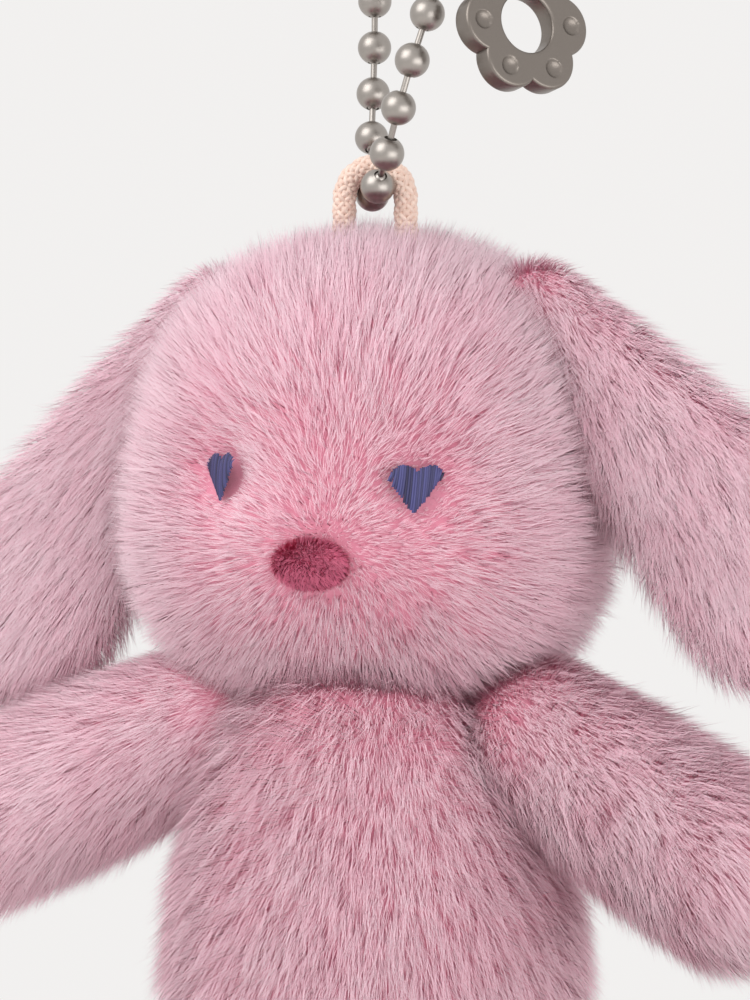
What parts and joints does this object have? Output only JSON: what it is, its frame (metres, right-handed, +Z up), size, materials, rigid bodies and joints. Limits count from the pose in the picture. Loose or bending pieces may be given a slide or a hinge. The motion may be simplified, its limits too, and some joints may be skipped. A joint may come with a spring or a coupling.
{
  "type": "keyring",
  "caption": "Pink plush rabbit keychain with embroidered heart eyes, hung by a braided cord loop on a ball chain with a flower-shaped metal charm.",
  "frame": {"origin": "the hang point, at the inside of the topmost turn of the ball chain loop", "axes": "+Z up, the rabbit faces -Y, +X to its left"},
  "size_m": [0.1334, 0.0715, 0.1982],
  "materials": {
    "plush": "matte",
    "pompom": "matte",
    "stuffing": "matte",
    "eye_thread": "satin",
    "nose_thread": "matte",
    "loop_cord": "satin",
    "chain_metal": "satin",
    "charm_metal": "satin",
    "ring_metal": "polished"
  },
  "bodies": {
    "root": {"connector": "chain_metal", "front_link_10": "chain_metal", "front_link_11": "chain_metal", "front_link_12": "chain_metal", "front_link_13": "chain_metal", "front_link_8": "chain_metal", "front_link_9": "chain_metal", "rear_link_8": "chain_metal"},
    "head": {"head_cover": "plush", "head_stuffing": "stuffing", "left_eye": "eye_thread", "right_eye": "eye_thread", "nose": "nose_thread", "hanging_loop": "loop_cord", "loop_knot": "loop_cord"},
    "torso": {"torso_cover": "plush", "torso_stuffing": "stuffing", "tail_pompom": "pompom"},
    "left_arm": {"left_arm_cover": "plush", "left_arm_stuffing": "stuffing"},
    "right_arm": {"right_arm_cover": "plush", "right_arm_stuffing": "stuffing"},
    "left_leg": {"left_leg_cover": "plush", "left_leg_stuffing": "stuffing"},
    "right_leg": {"right_leg_cover": "plush", "right_leg_stuffing": "stuffing"},
    "left_ear": {"left_ear_cover": "plush", "left_ear_padding": "stuffing"},
    "right_ear": {"right_ear_cover": "plush", "right_ear_padding": "stuffing"},
    "ring": {"jump_ring": "ring_metal"},
    "charm": {"flower_charm": "charm_metal"},
    "loop_7": {"rear_link_7": "chain_metal", "front_link_7": "chain_metal"},
    "loop_6": {"rear_link_6": "chain_metal", "front_link_6": "chain_metal"},
    "loop_5": {"rear_link_5": "chain_metal", "front_link_5": "chain_metal"},
    "loop_4": {"rear_link_4": "chain_metal", "front_link_4": "chain_metal"},
    "loop_3": {"rear_link_3": "chain_metal", "front_link_3": "chain_metal"},
    "loop_2": {"rear_link_2": "chain_metal", "front_link_2": "chain_metal", "rear_link_1": "chain_metal", "front_link_1": "chain_metal"}
  },
  "joints": [
    {"name": "loop_bend_7", "type": "hinge", "parent": "root", "child": "loop_7", "pos_m": [-0.01024, 0.00928, -0.01656], "axis": [0.6838, -0.7292, 0.0282], "range_deg": [-3, 3]},
    {"name": "loop_bend_6", "type": "hinge", "parent": "loop_7", "child": "loop_6", "pos_m": [-0.01031, 0.00948, -0.02284], "axis": [0.6302, -0.7755, 0.0385], "range_deg": [-3, 3]},
    {"name": "loop_bend_5", "type": "hinge", "parent": "loop_6", "child": "loop_5", "pos_m": [-0.01025, 0.00919, -0.02911], "axis": [0.5743, -0.817, 0.0517], "range_deg": [-3, 3]},
    {"name": "loop_bend_4", "type": "hinge", "parent": "loop_5", "child": "loop_4", "pos_m": [-0.01022, 0.00856, -0.03536], "axis": [0.5208, -0.8513, 0.0643], "range_deg": [-3, 3]},
    {"name": "loop_bend_3", "type": "hinge", "parent": "loop_4", "child": "loop_3", "pos_m": [-0.00984, 0.00694, -0.04142], "axis": [0.4797, -0.8743, 0.0738], "range_deg": [-3, 3]},
    {"name": "loop_bend_2", "type": "hinge", "parent": "loop_3", "child": "loop_2", "pos_m": [-0.00868, 0.00364, -0.04664], "axis": [0.4526, -0.8884, 0.0768], "range_deg": [-3, 3]},
    {"name": "rabbit_swing", "type": "hinge", "parent": "loop_2", "child": "head", "pos_m": [-0.0053, -0.00422, -0.04944], "axis": [0.4414, -0.8926, 0.0914], "range_deg": [-14, 14]},
    {"name": "neck_bend", "type": "hinge", "parent": "head", "child": "torso", "pos_m": [-0.0053, -0.00422, -0.11934], "axis": [1, 0, 0], "range_deg": [-6, 6], "stiffness_Nm_per_rad": 0.02},
    {"name": "left_arm_bend", "type": "hinge", "parent": "torso", "child": "left_arm", "pos_m": [0.0182, -0.00722, -0.11984], "axis": [-0.1722, -0.9797, 0.1025], "range_deg": [-7, 7], "stiffness_Nm_per_rad": 0.02},
    {"name": "right_arm_bend", "type": "hinge", "parent": "torso", "child": "right_arm", "pos_m": [-0.0283, -0.00622, -0.11884], "axis": [0.0728, -0.9968, 0.0328], "range_deg": [-4, 7], "stiffness_Nm_per_rad": 0.02},
    {"name": "left_leg_bend", "type": "hinge", "parent": "torso", "child": "left_leg", "pos_m": [0.0097, -0.01222, -0.16434], "axis": [0.907, 0.2422, 0.3446], "range_deg": [-7, 7], "stiffness_Nm_per_rad": 0.02},
    {"name": "right_leg_bend", "type": "hinge", "parent": "torso", "child": "right_leg", "pos_m": [-0.0203, -0.01222, -0.16434], "axis": [0.907, -0.2422, -0.3446], "range_deg": [-7, 7], "stiffness_Nm_per_rad": 0.02},
    {"name": "left_ear_flap", "type": "hinge", "parent": "head", "child": "left_ear", "pos_m": [0.0207, -0.00422, -0.06534], "axis": [0, 1, 0], "range_deg": [-7, 7], "stiffness_Nm_per_rad": 0.02},
    {"name": "right_ear_flap", "type": "hinge", "parent": "head", "child": "right_ear", "pos_m": [-0.0313, -0.00422, -0.06534], "axis": [0, 1, 0], "range_deg": [-3, 7], "stiffness_Nm_per_rad": 0.02},
    {"name": "ring_swing", "type": "hinge", "parent": "loop_7", "child": "ring", "pos_m": [0.008, -0.01017, -0.01581], "axis": [0.3348, 0.6293, 0.7013], "range_deg": [-3, 3]},
    {"name": "charm_swing", "type": "hinge", "parent": "ring", "child": "charm", "pos_m": [0.01523, -0.00858, -0.02069], "axis": [0.776, -0.6063, 0.1736], "range_deg": [-12, 12]}
  ]
}
